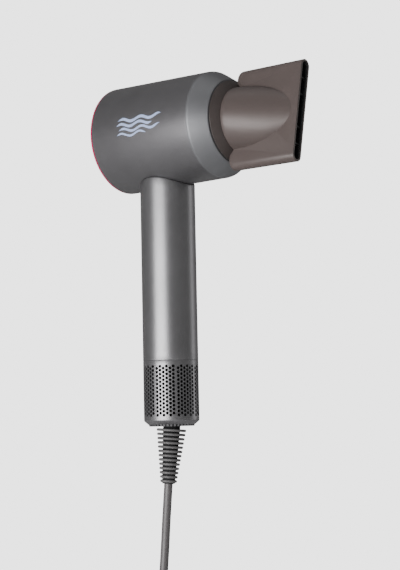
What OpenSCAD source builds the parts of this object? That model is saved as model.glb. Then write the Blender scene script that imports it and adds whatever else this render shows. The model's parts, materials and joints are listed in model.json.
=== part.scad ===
// Handheld hair dryer with a round handle, a ring-shaped head with an open bore, and a flat concentrator.
// The handle's centre line is Z. The head's centre line runs along +X, the way the air leaves.
// The origin is the middle of the round grip.

/* [Head] */
// Height of the head's centre line above the middle of the grip
head_z = 102.5; // [101:0.5:104]
// Outer radius of the barrel at its rear rim
barrel_r_rear = 39.6; // [39.2:0.1:39.8]
// Outer radius of the barrel where the nose begins
barrel_r_front = 38.2; // [38:0.1:38.4]
// Thickness of the moulded covers
wall = 1.6; // [1.4:0.1:1.8]
// Radius of the open bore through the head
bore_r = 20; // [19.6:0.1:20.4]

/* [Handle] */
// Outer radius of the handle
handle_r = 20; // [19.8:0.1:20.2]
// Length of the round grip between the head and the intake cage
grip_length = 127; // [126:0.5:128]
// Height of the intake cage's cylinder
cage_height = 43; // [42.5:0.5:43.5]
// Number of groups of openings around the cage
cage_groups = 8; // [6:1:8]
// Columns of openings in each group
cage_columns = 6; // [4:1:6]

/* [Controls] */
// Width of the control panel's window
panel_w = 14; // [14:0.5:15]
// Length of the control panel's window
panel_h = 58; // [56:1:58]
// Radius of the round buttons
button_r = 3.2; // [3:0.1:3.3]
// How far a button travels
button_travel = 1; // [0.8:0.1:1]
// How far the power slider travels
slider_travel = 6; // [5:0.5:6]

/* [Nozzle] */
// Distance from the handle's centre line to the nozzle's slot
nozzle_front = 120; // [118:1:124]
// Half of the blade's height
blade_half = 37.2; // [36:0.2:38]
// Thickness of the blade
blade_t = 9.4; // [9:0.1:10]
// Radius of the round duct behind the blade
duct_r = 23.5; // [23.3:0.1:23.7]
// Turn of the nozzle about the head's centre line
nozzle_turn = 11.5; // [0:0.5:15]

/* [Cord and plug] */
// Diameter of the mains cord
cord_d = 6.2; // [6:0.1:6.4]
// Radius of the plug's pins
pin_r = 2.4; // [2.35:0.05:2.45]
// Distance between the plug's two pins
pin_pitch = 19; // [18.5:0.5:19.5]

/* [Hidden] */
$fn = 64;

// Head, measured along its centre line from the handle's centre line
head_rear_x = -39.5;
shell_rear_x = -38;
nose_x = 49;
nose_front_x = 62.7;
nose_front_r = 30.3;
nose_lip_r = 27.3;
heater_x0 = 18;
heater_x1 = 44;
heater_ribs = 8;
coil_rings = 8;
coil_wire_r = 0.6;
coil_r = 31.7;
magnets = 8;

// Handle, from the seam of the cage to the end of the strain relief
seam_z = -grip_length / 2;
grip_top_z = 62;
cage_end_z = seam_z - cage_height;
cage_bottom_z = cage_end_z - 4;
cage_hole_r = 11.3;
handle_bore_r = handle_r - wall;
duct_hole_r = 16.2;

// Control panel, on the side of the handle opposite the nozzle
panel_z = 20;
panel_r = handle_r - 0.25;
panel_in_r = 17.2;
slider_z = 30.5;
cool_z = 18;
speed_z = 8;
heat_z = -1.5;
gap = 0.3;
lens_y = 5;
lens_pitch = 2.2;
switch_board_x = -11.5;
control_board_x = -3;

// Motor, on the handle's centre line
motor_z0 = -56;
motor_z1 = -14;
motor_r = 14.5;
motor_bore_r = 13.3;
shaft_r = 1.5;
bearing_r = 4;
stator_z0 = -36.5;
stator_z1 = -24;

// Strain relief, straight at its root and leaning from there on
ring_count = 13;
ring_pitch = 3.03;
ring_top_z = -113.3;
ring_half_t = 0.85;
ring_r_top = 10.7;
relief_root_z = -108.5;
relief_lean = 4.3;
lean_azimuth = 40;
ring_r_end = 6.1;
relief_end_z = -151.5;

// Nozzle, along the head's centre line
collar_x0 = 63;
collar_x1 = 68;
collar_r0 = 30;
blade_rear_x = 65.5;
bulge_x = 70;
bulge_length = 45.5;
flank_offset = 10;
flank_slope = 0.457;
nozzle_wall = 1.5;
slot_t = blade_t - 2 * nozzle_wall;

// Cord: straight on from the strain relief, then down into the coil, then down to the plug
cord_route = [[-2.47, -2.07, -151.38], [-2.96, -2.48, -159.86], [-3.45, -2.89, -168.33],
  [-4.02, -3.37, -178.3], [-4.55, -3.95, -190], [-4.9, -4.85, -202], [-5, -6.2, -214],
  [-5, -7.7, -226], [-5, -8.9, -238], [-5, -9.5, -250], [-5, -9.6, -270]];
tail_route = [[-5, 9.6, -270], [-5, 9.6, -283], [-5, 9.6, -298], [-5, 9.6, -313], [-5, 9.6, -324]];
cord_sides = 12;
turns_centre = [-45.1, 0, -270];
turns_r_in = 30.5;
turns_r_out = 43.3;
turns_half_w = 12.8;
plug_x = -5;
plug_y = 9.6;
plug_top_z = -324;
plug_face_z = -360;
pin_length = 19;

// Outer radius of the barrel at a place along the head
function barrel_r(x) = barrel_r_rear
  + (barrel_r_front - barrel_r_rear) * (x - head_rear_x) / (nose_x - head_rear_x);

// Radius of the bulge, a half ellipsoid, less an offset
function bulge_r(x, inset) = (duct_r - inset)
  * sqrt(max(0, 1 - pow((x - bulge_x) / (bulge_length - inset), 2)));

// Tangent of a route at its point i
function tangent(route, i) = let (a = route[max(0, i - 1)], b = route[min(len(route) - 1, i + 1)])
  (b - a) / norm(b - a);

// Radius of the cone that forms a flank of the bulge, about its own line
function flank_r(x) = flank_offset + blade_t / 2 + flank_slope * (bulge_x + bulge_length - x);

function unit(v) = v / norm(v);

// One ring of points around a route, square to it
function ring(route, i, r) =
  let (t = tangent(route, i), side = unit(cross(t, [1, 0, 0])), out = cross(side, t))
  [for (k = [0:cord_sides - 1]) let (a = 360 * k / cord_sides)
    route[i] + r * (cos(a) * out + sin(a) * side)];

// Radii of the strain relief's core and of its rings, counted from the top
function relief_core_r(i) = 6.2 - 1.6 * i / ring_count;
function relief_ring_r(i) = ring_r_top + (ring_r_end - ring_r_top) * i / (ring_count - 1);

// The strain relief's outline around one ring
function relief_ring(i) =
  let (z = ring_top_z - i * ring_pitch, core = relief_core_r(i), rim = relief_ring_r(i))
  [[core, z + ring_half_t], [rim, z + ring_half_t], [rim, z - ring_half_t], [core, z - ring_half_t]];

// A round solid about the handle's centre line, from points of [radius, z]
module turned(profile) rotate_extrude() polygon(profile);

// A round solid about the head's centre line, from points of [radius, x]
module turned_head(profile) translate([0, 0, head_z]) rotate([0, 90, 0]) turned(profile);

// A tube about the handle's centre line
module tube(r_out, r_in, z0, z1) turned([[r_in, z0], [r_out, z0], [r_out, z1], [r_in, z1]]);

// A tube about the head's centre line
module head_tube(r_out, r_in, x0, x1)
  turned_head([[r_in, x0], [r_out, x0], [r_out, x1], [r_in, x1]]);

// A rod along +X
module rod_x(r, x0, x1, y = 0, z = 0)
  translate([x0, y, z]) rotate([0, 90, 0]) cylinder(r = r, h = x1 - x0, $fn = 32);

// A plain box from its low corner to its high corner
module block(low, high) translate(low) cube(high - low);

// A bar with round ends along Z, extruded along X
module stadium_bar(w, h, x0, x1, z = 0)
  translate([x0, 0, z]) rotate([90, 0, 90]) linear_extrude(x1 - x0) {
    square([w, h - w], center = true);
    for (s = [-1, 1]) translate([0, s * (h - w) / 2]) circle(d = w);
  }

// A tube of cord along a route
module cord_tube(route, r) {
  n = len(route);
  m = cord_sides;
  polyhedron(
    points = [for (i = [0:n - 1]) each ring(route, i, r)],
    faces = concat(
      [[for (k = [0:m - 1]) m - 1 - k]],
      [for (i = [0:n - 2], k = [0:m - 1])
        [i * m + k, i * m + (k + 1) % m, (i + 1) * m + (k + 1) % m, (i + 1) * m + k]],
      [[for (k = [0:m - 1]) (n - 1) * m + k]]),
    convexity = 4);
}

// The barrel's outer form as one solid
module barrel_form() turned_head([[0, -42], [barrel_r(-42), -42], [barrel_r(50), 50], [0, 50]]);

// ---- Head ----

module head_shell() color("dimgray") difference() {
  turned_head([[barrel_r(shell_rear_x) - wall, shell_rear_x], [barrel_r(shell_rear_x), shell_rear_x],
    [barrel_r(nose_x), nose_x], [barrel_r(nose_x) - wall, nose_x]]);
  translate([0, 0, head_z - 45]) cylinder(r = duct_hole_r, h = 25);
}

module rear_bezel() color("mediumvioletred") let (r = barrel_r(shell_rear_x), spigot = r - wall - 0.1)
  turned_head([[r, shell_rear_x], [r, -39], [r - 0.5, head_rear_x], [r - 1.3, -39.3], [30, -37],
    [25, -36.2], [25, -34.7], [30, -35.5], [35.8, -37.2], [35.8, -35], [spigot, -35],
    [spigot, shell_rear_x]]);

module bore_sleeve() color("dimgray") let (r = bore_r)
  turned_head([[25, -36.2], [r + 3, -35.4], [r + 1.2, -32.5], [r, -26], [r, 55], [r + 1, 57.2],
    [25.2, 58], [25.2, 57], [r + 2.3, 56], [r + 1.5, 53], [r + 1.5, -26], [r + 2.5, -31.5],
    [r + 3.8, -33.8], [25, -34.7]]);

module nose_ring() color("slategray") difference() {
  spigot = barrel_r_front - wall - 0.2;
  turned_head([[barrel_r_front, nose_x], [nose_front_r, nose_front_x], [nose_lip_r, nose_front_x],
    [nose_lip_r, 60], [29.9, 60], [34.6, 51.5], [34.6, 45],
    [spigot, 45], [spigot, nose_x]]);
  magnet_set();
}

// The small magnets that hold the nozzle, behind the nose's lip
module magnet_set() for (i = [0:magnets - 1])
  translate([0, 0, head_z]) rotate([i * 360 / magnets, 0, 0]) rod_x(1, 60, 62.2, 0, 28.6);

module nose_magnets() color("silver") magnet_set();

module heater_frame() color("tan") {
  r0 = bore_r + 1.5;
  r1 = bore_r + 4;
  turned_head([[r0, heater_x0], [r1, heater_x0], [r1, heater_x1], [r0, heater_x1],
    [r0, heater_x1 - 3], [r1 - 0.8, heater_x1 - 3], [r1 - 0.8, heater_x0 + 3], [r0, heater_x0 + 3]]);
  for (i = [0:heater_ribs - 1]) translate([0, 0, head_z]) rotate([i * 360 / heater_ribs, 0, 0])
    block([heater_x0 + 2, -0.4, r1 - 0.3], [heater_x1 - 1, 0.4, 31]);
}

module heater_coil() color("darkgray") for (i = [0:coil_rings - 1])
  translate([heater_x0 + 4 + 3 * i, 0, head_z]) rotate([0, 90, 0])
    rotate_extrude() translate([coil_r, 0]) circle(r = coil_wire_r, $fn = 16);

module heat_shield() color("silver")
  turned_head([[34, heater_x0], [36.1, heater_x0], [36.1, heater_x0 + 1], [34.5, heater_x0 + 1],
    [34.5, heater_x1], [34, heater_x1]]);

module thermal_cutout() color("silver") translate([0, 0, head_z]) rotate([22.5, 0, 0])
  rod_x(3, 24, 34, 0, bore_r + 7);

module thermistor() color("black") translate([0, 0, head_z]) rotate([67.5, 0, 0])
  rod_x(1.2, 26, 32, 0, bore_r + 5.2);

module ion_module() color("ivory")
  block([-26, -7, head_z + bore_r + 1.5], [-12, 7, head_z + bore_r + 10]);

module ion_emitter() color("silver") translate([-12, 0, head_z + bore_r + 6]) rotate([0, 90, 0])
  rotate_extrude($fn = 24) polygon([[0, 0], [0.8, 0], [0.8, 15], [0, 18]]);

// ---- Handle ----

module handle_shell() color("gray") difference() {
  rotate([0, 0, 45]) turned([[handle_bore_r, seam_z], [handle_r, seam_z], [handle_r, grip_top_z],
    [handle_r - 0.3, head_z - 30], [handle_bore_r, head_z - 30]]);
  barrel_form();
  stadium_bar(panel_w, panel_h, -21, -14, panel_z);
}

module control_panel() color("dimgray") difference() {
  union() {
    intersection() {
      tube(panel_r, handle_bore_r, -12, 52);
      stadium_bar(panel_w, panel_h, -21, -14, panel_z);
    }
    intersection() {
      tube(handle_bore_r, panel_in_r, -12, 52);
      stadium_bar(panel_w + 2.5, panel_h + 3, -21, -12, panel_z);
    }
  }
  for (z = [cool_z, speed_z, heat_z]) rod_x(button_r + gap, -21, -12, 0, z);
  block([-21, -2.8, slider_z - 4.8], [-12, 2.8, slider_z + 4.8 + slider_travel]);
  lens_set();
}

// Indicator lenses beside the speed and heat buttons
module lens_set() for (z = [speed_z, heat_z], i = [-1:1])
  rod_x(0.6, -19.05, -16.5, lens_y, z + i * lens_pitch);

module indicator_lenses() color("white") lens_set();

module switch_board() color("darkgreen")
  block([switch_board_x, -7, -6], [switch_board_x + 1.2, 7, 46]);

module slide_switch() color("black") block([-13.9, -3, 25], [switch_board_x, 3, 43]);

module button_switches() color("black") for (z = [cool_z, speed_z, heat_z]) {
  block([-13, -2.25, z - 2.25], [switch_board_x, 2.25, z + 2.25]);
  rod_x(1, -13.6, -13, 0, z);
}

module board_connector() color("ivory")
  block([switch_board_x + 1.2, -5, 40], [control_board_x, 5, 43]);

module control_board() color("darkgreen")
  block([control_board_x, -14.2, motor_z1], [control_board_x + wall, 14.2, 52]);

module board_components() color("black") {
  x = control_board_x + wall;
  translate([x + 5, 6, 0]) cylinder(r = 5, h = 22);
  block([x, -11, 28], [x + 9, -1, 40]);
  block([x, -10, 4], [x + 3, -2, 14]);
  block([control_board_x - 1, -5, 10], [control_board_x, 5, 20]);
}

module duct_collar() color("dimgray") turned([[14.4, 52], [handle_bore_r, 52], [handle_bore_r, 60],
  [duct_hole_r, 60], [duct_hole_r, 63.6], [15, 63.6], [14.4, 60]]);

module motor_housing() color("silver") tube(motor_r, motor_bore_r, motor_z0, motor_z1);

module motor_mounts() color("black") {
  tube(handle_bore_r, motor_r, -50, -45);
  tube(handle_bore_r, motor_r, -24, -19);
}

module diffuser_vanes() color("silver") {
  turned([[shaft_r + 0.4, -45], [8.5, -45], [8.5, -39.5], [bearing_r, -39.5], [bearing_r, -44],
    [shaft_r + 0.4, -44]]);
  intersection() {
    tube(motor_bore_r, 8, -45, -39.5);
    for (i = [0:8]) rotate([0, 0, i * 40]) translate([7, 0, -42.25]) rotate([20, 0, 0])
      translate([0, -0.4, -5]) cube([8, 0.8, 10]);
  }
}

module bearing_bridge() color("silver") {
  tube(6, bearing_r, -20, -15.6);
  intersection() {
    tube(motor_bore_r, 5.5, -18.5, -16.5);
    for (i = [0:2]) rotate([0, 0, i * 120 + 30]) block([5, -1.5, -19], [14, 1.5, -16]);
  }
}

module motor_bearings() color("lightgray") {
  tube(bearing_r, shaft_r + 0.05, -44, -40);
  tube(bearing_r, shaft_r + 0.05, -19.8, -15.8);
}

module stator() color("slategray") {
  tube(motor_bore_r, 11, stator_z0, stator_z1);
  intersection() {
    tube(11.5, 5.5, stator_z0, stator_z1);
    for (i = [0:3]) rotate([0, 0, i * 90 + 45]) block([4, -2, stator_z0], [12, 2, stator_z1]);
  }
}

module stator_windings() color("peru") for (i = [0:3]) rotate([0, 0, i * 90 + 45]) difference() {
  block([6.5, -3.6, stator_z0 - 1.5], [10.4, 3.6, stator_z1 + 1.5]);
  block([5, -2, stator_z0], [12, 2, stator_z1]);
}

module motor_shaft() color("lightgray") translate([0, 0, -55]) cylinder(r = shaft_r, h = 40);

module rotor_magnet() color("darkslategray") tube(5, shaft_r, stator_z0 - 0.5, stator_z1 + 0.5);

module impeller() color("lightgray") {
  turned([[shaft_r, -54.5], [4, -54.5], [7.5, -50], [8.5, -46.2], [shaft_r, -46.2]]);
  intersection() {
    tube(12.8, 4, -54, -46.5);
    for (i = [0:10]) rotate([0, 0, i * 360 / 11]) translate([3, 0, -50.2]) rotate([-38, 0, 0])
      translate([0, -0.35, -6]) cube([11, 0.7, 12]);
  }
}

// The two fastening places of the cord clamp
module clamp_places() for (s = [-1, 1]) translate([s * 8.5, 0, 0]) children();

module end_frame() color("black") difference() {
  union() {
    tube(handle_bore_r, 14.6, -62, -57);
    for (i = [0:3]) rotate([0, 0, i * 90 + 45]) translate([15.4, 0, -104]) cylinder(r = 1.6, h = 46);
    tube(17.8, cord_d / 2, -106, -103.5);
  }
  clamp_places() translate([0, 0, -107]) cylinder(r = 1.25, h = 4);
}

module filter_mesh() color("lightgray") tube(17.8, 17.4, -103.5, seam_z);

module cord_clamp() color("dimgray") difference() {
  block([-11.5, -4.5, -103.5], [11.5, 4.5, -98.5]);
  translate([0, 0, -104]) cylinder(d = cord_d, h = 6);
  clamp_places() translate([0, 0, -104]) cylinder(r = 1.25, h = 6);
}

module clamp_screws() color("silver") clamp_places()
  turned([[0, -106], [1.25, -106], [1.25, -98.5], [2.4, -98.5], [2.4, -96.9], [0, -96.9]]);

// What lies below the strain relief's root leans away from the handle's centre line
module leaning() translate([0, 0, relief_root_z])
  rotate(relief_lean, [-sin(lean_azimuth), cos(lean_azimuth), 0]) translate([0, 0, -relief_root_z]) children();

module strain_relief() color("dimgray") difference() {
  union() {
    turned([[0, -106], [12, -106], [12, relief_root_z], [0, relief_root_z]]);
    leaning() turned(concat([[0, relief_root_z + 0.7], [relief_core_r(0), relief_root_z + 0.7]],
      [for (i = [0:ring_count - 1]) each relief_ring(i)], [[cord_d / 2 + 1.3, relief_end_z], [0, relief_end_z]]));
  }
  translate([0, 0, relief_root_z - 1]) cylinder(d = cord_d, h = 5);
  leaning() translate([0, 0, relief_end_z - 1]) cylinder(d = cord_d, h = 46);
}

module filter_cage() color("gray") rotate([0, 0, 5]) difference() {
  turned([[18.6, seam_z], [handle_r, seam_z], [handle_r, cage_end_z], [15.5, cage_bottom_z],
    [cage_hole_r, cage_bottom_z], [cage_hole_r, cage_bottom_z + 1.2], [14.8, cage_bottom_z + 1.2],
    [18.6, cage_end_z + 0.8]]);
  for (g = [0:cage_groups - 1], c = [0:cage_columns - 1])
    rotate([0, 0, (g + 0.5) * 360 / cage_groups + (c - (cage_columns - 1) / 2) * 6.95])
      stadium_bar(1.6, 36, 17, 22, -85.5);
}

// ---- Controls ----

// A round button with a flange behind the panel and a stem towards its switch
module button(z) {
  rod_x(button_r, -19.4, -16.4, 0, z);
  rod_x(button_r + 0.8, -16.4, -15.4, 0, z);
  rod_x(1.2, -15.4, -13.9 - button_travel, 0, z);
}

module power_slider() color("firebrick") {
  intersection() {
    block([-21, -2.5, slider_z - 4.5], [-16, 2.5, slider_z + 4.5]);
    tube(handle_r - 0.4, 10, slider_z - 6, slider_z + 6);
  }
  block([-16.3, -3.75, slider_z - 6.5], [-15.3, 3.75, slider_z + 6.5]);
  block([-15.4, -1.5, slider_z - 1.5], [-14.2, 1.5, slider_z + 1.5]);
}

module cool_button() color("steelblue") button(cool_z);

module speed_button() color("lightgray") button(speed_z);

module heat_button() color("lightgray") button(heat_z);

// ---- Nozzle ----

// Turns the nozzle's pieces about the head's centre line
module on_nozzle() translate([0, 0, head_z]) rotate([-nozzle_turn, 0, 0]) children();

module nozzle_collar() color("rosybrown") difference() {
  turned_head([[21, collar_x0], [24.2, collar_x0], [24.2, 60.4], [26.9, 60.4], [26.9, collar_x0],
    [collar_r0, collar_x0], [duct_r, collar_x1], [21, collar_x1]]);
  head_tube(28.9, 27.4, collar_x0 - 1, collar_x0 + 0.6);
}

module latch_ring() color("silver") head_tube(28.9, 27.4, collar_x0, collar_x0 + 0.6);

// The blade's outline seen from its side, with round rear corners
module blade_outline(inset) {
  h = blade_half - inset;
  corner = 5;
  front = nozzle_front + (inset > 0 ? 2 : 0);
  polygon(concat(
    [for (a = [0:15:90]) [blade_rear_x + inset + corner - corner * cos(a), h - corner + corner * sin(a)]],
    [[front, h - 1.2], [front, 1.2 - h]],
    [for (a = [90:-15:0]) [blade_rear_x + inset + corner - corner * cos(a), corner - h - corner * sin(a)]]));
}

// The blade less an inset all round, open at its front
module blade(inset) intersection() {
  stadium_bar(blade_t - 2 * inset, 2 * (blade_half - inset), blade_rear_x - 1, nozzle_front + 3);
  rotate([90, 0, 0]) translate([0, 0, -10]) linear_extrude(20) blade_outline(inset);
}

// The round duct and the bulge that narrows into the blade: a half ellipsoid with a tapering flank on each side
module bulge(inset, x0) intersection() {
  rotate([0, 90, 0]) turned(concat([[0, x0], [duct_r - inset, x0]],
    [for (i = [0:20]) let (x = bulge_x + (bulge_length - inset) * sin(i * 4.5)) [bulge_r(x, inset), x]]));
  flank(inset, 1);
  flank(inset, -1);
}

// A cone about a line beside the head's centre line
module flank(inset, side) translate([0, -side * flank_offset, 0]) rotate([0, 90, 0])
  turned([[0, 58], [flank_r(58) - inset, 58], [flank_r(117) - inset, 117], [0, 117]]);

module nozzle_shell() color("rosybrown") on_nozzle() difference() {
  union() {
    difference() {
      union() {
        blade(0);
        bulge(0, collar_x1 + gap);
      }
      rotate([0, 90, 0]) turned([[0, 58], [31.3, 58], [31.3, 62.8], [duct_r + 0.5, collar_x1 + gap],
        [0, collar_x1 + gap]]);
    }
    rotate([0, 90, 0]) turned([[0, 61.5], [22, 61.5], [22, 62.5], [20.94, 62.5], [20.94, 70], [0, 70]]);
  }
  blade(nozzle_wall);
  bulge(nozzle_wall, collar_x1 + gap + nozzle_wall);
  rotate([0, 90, 0]) cylinder(r = 19.5, h = 72);
}

module slot_fins() color("rosybrown") on_nozzle() for (z = [-24, -12, 12, 24])
  block([nozzle_front - 10, -slot_t / 2, z - 0.5], [nozzle_front - 1.5, slot_t / 2, z + 0.5]);

// ---- Cord and plug ----

module cord_inner() color("dimgray") {
  translate([0, 0, relief_root_z]) cylinder(d = cord_d, h = 12);
  leaning() translate([0, 0, relief_end_z]) cylinder(d = cord_d, h = relief_root_z - relief_end_z + 0.6);
}

module cord() color("dimgray") cord_tube(cord_route, cord_d / 2);

module coil_form() translate(turns_centre) rotate([90, 0, 0])
  tube(turns_r_out, turns_r_in, -turns_half_w, turns_half_w);

module cord_coil() color("dimgray") coil_form();

module coil_tie() color("black") difference() {
  translate(turns_centre + [0, 0, (turns_r_in + turns_r_out) / 2])
    cube([8, 2 * turns_half_w + 3, 16], center = true);
  coil_form();
}

module cord_tail() color("dimgray") cord_tube(tail_route, cord_d / 2);

module plug_body() color("dimgray") translate([plug_x, plug_y, 0]) {
  turned([[0, plug_top_z], [5, plug_top_z], [6, plug_top_z - 6], [12.5, plug_top_z - 12],
    [12.5, plug_top_z - 14], [0, plug_top_z - 14]]);
  translate([0, 0, plug_face_z]) linear_extrude(plug_top_z - plug_face_z - 12) {
    square([12, 26], center = true);
    for (s = [-1, 1]) translate([s * 6, 0]) circle(r = 13);
  }
}

module plug_pins() color("silver") for (s = [-1, 1])
  translate([plug_x + s * pin_pitch / 2, plug_y, plug_face_z - pin_length]) cylinder(r = pin_r, h = pin_length);

head_shell();
rear_bezel();
bore_sleeve();
nose_ring();
nose_magnets();
heater_frame();
heater_coil();
heat_shield();
thermal_cutout();
thermistor();
ion_module();
ion_emitter();
handle_shell();
control_panel();
indicator_lenses();
switch_board();
slide_switch();
button_switches();
board_connector();
control_board();
board_components();
duct_collar();
motor_housing();
motor_mounts();
diffuser_vanes();
bearing_bridge();
motor_bearings();
stator();
stator_windings();
motor_shaft();
rotor_magnet();
impeller();
end_frame();
filter_mesh();
cord_clamp();
clamp_screws();
strain_relief();
filter_cage();
power_slider();
cool_button();
speed_button();
heat_button();
nozzle_collar();
latch_ring();
nozzle_shell();
slot_fins();
cord_inner();
cord();
cord_coil();
coil_tie();
cord_tail();
plug_body();
plug_pins();
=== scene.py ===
"""Looks of the handheld hair dryer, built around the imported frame. Lengths named here are in millimetres."""

import json
import math

import bmesh
import bpy
from mathutils import Matrix, Vector


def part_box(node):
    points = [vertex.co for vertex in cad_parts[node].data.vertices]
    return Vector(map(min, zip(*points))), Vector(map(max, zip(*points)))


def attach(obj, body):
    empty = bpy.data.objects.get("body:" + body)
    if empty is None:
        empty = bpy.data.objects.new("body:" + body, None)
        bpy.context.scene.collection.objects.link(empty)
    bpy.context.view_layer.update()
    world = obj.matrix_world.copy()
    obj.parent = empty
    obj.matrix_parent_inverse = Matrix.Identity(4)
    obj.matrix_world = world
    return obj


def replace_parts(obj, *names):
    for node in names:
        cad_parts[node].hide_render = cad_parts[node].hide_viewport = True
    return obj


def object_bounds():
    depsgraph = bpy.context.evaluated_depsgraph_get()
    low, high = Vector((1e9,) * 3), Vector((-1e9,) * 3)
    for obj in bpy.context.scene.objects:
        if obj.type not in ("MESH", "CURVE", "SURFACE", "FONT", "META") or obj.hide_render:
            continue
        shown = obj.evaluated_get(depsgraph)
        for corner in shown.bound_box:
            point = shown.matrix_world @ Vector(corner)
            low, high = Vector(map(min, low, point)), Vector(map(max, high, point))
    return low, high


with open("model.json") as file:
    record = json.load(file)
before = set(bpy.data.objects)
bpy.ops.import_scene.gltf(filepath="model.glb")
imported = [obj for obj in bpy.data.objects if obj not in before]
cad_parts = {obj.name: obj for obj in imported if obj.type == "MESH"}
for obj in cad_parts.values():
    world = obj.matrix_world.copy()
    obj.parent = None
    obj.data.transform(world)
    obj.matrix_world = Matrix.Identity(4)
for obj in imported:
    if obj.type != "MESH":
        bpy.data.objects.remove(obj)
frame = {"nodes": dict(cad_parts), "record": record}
cad_low, cad_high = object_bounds()
MM = 0.001

# ---- Places taken from the frame ----

nose_low, nose_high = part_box("nose_ring")
handle_low, handle_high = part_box("handle_shell")
cage_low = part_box("filter_cage")[0]
blade_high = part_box("nozzle_shell")[1]
HEAD_Z = (nose_low.z + nose_high.z) / 2 / MM
SEAM_Z = handle_low.z / MM
CAGE_BOTTOM_Z = cage_low.z / MM
HANDLE_R = handle_high.y / MM
SLOT_X = blade_high.x / MM
REAR_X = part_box("rear_bezel")[0].x / MM
REAR_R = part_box("rear_bezel")[1].y / MM
NOSE_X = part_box("head_shell")[1].x / MM
NOSE_R = 38.2
NOSE_FRONT_X = nose_high.x / MM
CAGE_CYLINDER_END = CAGE_BOTTOM_Z + 4


def barrel_r(x):
    """Outer radius of the barrel at a place along the head."""
    return REAR_R + (NOSE_R - REAR_R) * (x - REAR_X) / (NOSE_X - REAR_X)


# ---- Camera ----

AZIMUTH = 39.99
DISTANCE = 1035.3
CAMERA_DROP = 208.4
TURN = -1.232
TILT = 5.356
ROLL = 1.166
FOCAL_LENGTH = 90.45


def make_camera():
    """The camera stands in front of the dryer, to its right, level with the cage, and looks slightly up."""
    a, b, p, q = (math.radians(v) for v in (AZIMUTH, AZIMUTH + TURN, TILT, ROLL))
    place = Vector((math.sin(a) * DISTANCE, -math.cos(a) * DISTANCE, HEAD_Z - CAMERA_DROP)) * MM
    ahead = Vector((-math.sin(b) * math.cos(p), math.cos(b) * math.cos(p), math.sin(p)))
    right = Vector((math.cos(b), math.sin(b), 0))
    up = right.cross(ahead)
    side = right * math.cos(q) - up * math.sin(q)
    top = right * math.sin(q) + up * math.cos(q)
    data = bpy.data.cameras.new("camera")
    data.lens = FOCAL_LENGTH
    data.clip_start, data.clip_end = 0.05, 50
    cam = bpy.data.objects.new("camera", data)
    bpy.context.scene.collection.objects.link(cam)
    turn = Matrix((side, top, -ahead)).transposed().to_4x4()
    cam.matrix_world = Matrix.Translation(place) @ turn
    bpy.context.scene.camera = cam


make_camera()

# ---- Materials ----

ROUGH_SPREAD = 0.06


def surface(name, color, rough, metal=0.0, tone=0.06, tone_scale=40.0, grain=0.03, grain_scale=2500.0,
            coat=0.0, sheen=0.0, spec=0.5, stretch=(1, 1, 1)):
    """A finish with broad colour variation, uneven roughness and a fine grain in its bump."""
    mat = bpy.data.materials.new(name)
    mat.use_nodes = True
    nodes, links = mat.node_tree.nodes, mat.node_tree.links
    shader = nodes["Principled BSDF"]
    shader.inputs["Metallic"].default_value = metal
    shader.inputs["IOR"].default_value = 1.5
    shader.inputs["Specular IOR Level"].default_value = spec
    shader.inputs["Coat Weight"].default_value = coat
    shader.inputs["Coat Roughness"].default_value = 0.15
    shader.inputs["Sheen Weight"].default_value = sheen
    place = nodes.new("ShaderNodeTexCoord")
    mapping = nodes.new("ShaderNodeMapping")
    mapping.inputs["Scale"].default_value = stretch
    links.new(place.outputs["Object"], mapping.inputs["Vector"])

    def noise(scale, detail):
        node = nodes.new("ShaderNodeTexNoise")
        node.inputs["Scale"].default_value = scale
        node.inputs["Detail"].default_value = detail
        links.new(mapping.outputs["Vector"], node.inputs["Vector"])
        return node

    broad = noise(tone_scale, 3)
    ramp = nodes.new("ShaderNodeValToRGB")
    ramp.color_ramp.elements[0].position = 0.3
    ramp.color_ramp.elements[1].position = 0.7
    ramp.color_ramp.elements[0].color = (*[c * (1 - tone) for c in color], 1)
    ramp.color_ramp.elements[1].color = (*[min(1, c * (1 + tone)) for c in color], 1)
    links.new(broad.outputs["Fac"], ramp.inputs["Fac"])
    links.new(ramp.outputs["Color"], shader.inputs["Base Color"])
    fine = noise(grain_scale, 2)
    spread = nodes.new("ShaderNodeMapRange")
    spread.inputs["To Min"].default_value = rough - ROUGH_SPREAD
    spread.inputs["To Max"].default_value = rough + ROUGH_SPREAD
    middle = noise(tone_scale * 8, 4)
    links.new(middle.outputs["Fac"], spread.inputs["Value"])
    links.new(spread.outputs["Result"], shader.inputs["Roughness"])
    bump = nodes.new("ShaderNodeBump")
    bump.inputs["Strength"].default_value = grain
    bump.inputs["Distance"].default_value = 0.0002
    links.new(fine.outputs["Fac"], bump.inputs["Height"])
    links.new(bump.outputs["Normal"], shader.inputs["Normal"])
    return mat


BARREL = surface("barrel_paint", (0.168, 0.164, 0.171), 0.40, metal=0.75, grain=0.05, grain_scale=5000)
NOSE = surface("nose_paint", (0.187, 0.189, 0.198), 0.46, metal=0.6, grain=0.05, grain_scale=5000)
HANDLE = surface("handle_paint", (0.24, 0.237, 0.245), 0.35, metal=0.85, grain=0.05, grain_scale=5000)
FUCHSIA = surface("fuchsia_gloss", (0.50, 0.008, 0.085), 0.28, coat=0.3, grain=0.02)
TAUPE = surface("taupe_satin", (0.098, 0.077, 0.072), 0.40, metal=0.12, grain=0.08, grain_scale=3500,
                spec=0.42)
# The collar's finish is a darker copy of the nozzle's taupe: painted shade on the collar.
COLLAR_PAINTED_SHADE = surface("collar_taupe_painted_shade", (0.062, 0.050, 0.047), 0.45, metal=0.2, grain=0.08, grain_scale=3500)
TRIM = surface("dark_trim", (0.020, 0.020, 0.021), 0.45, grain=0.12, grain_scale=3000)
RELIEF = surface("relief_rubber", (0.125, 0.122, 0.122), 0.50, grain=0.15, grain_scale=2200, tone=0.10)
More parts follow.
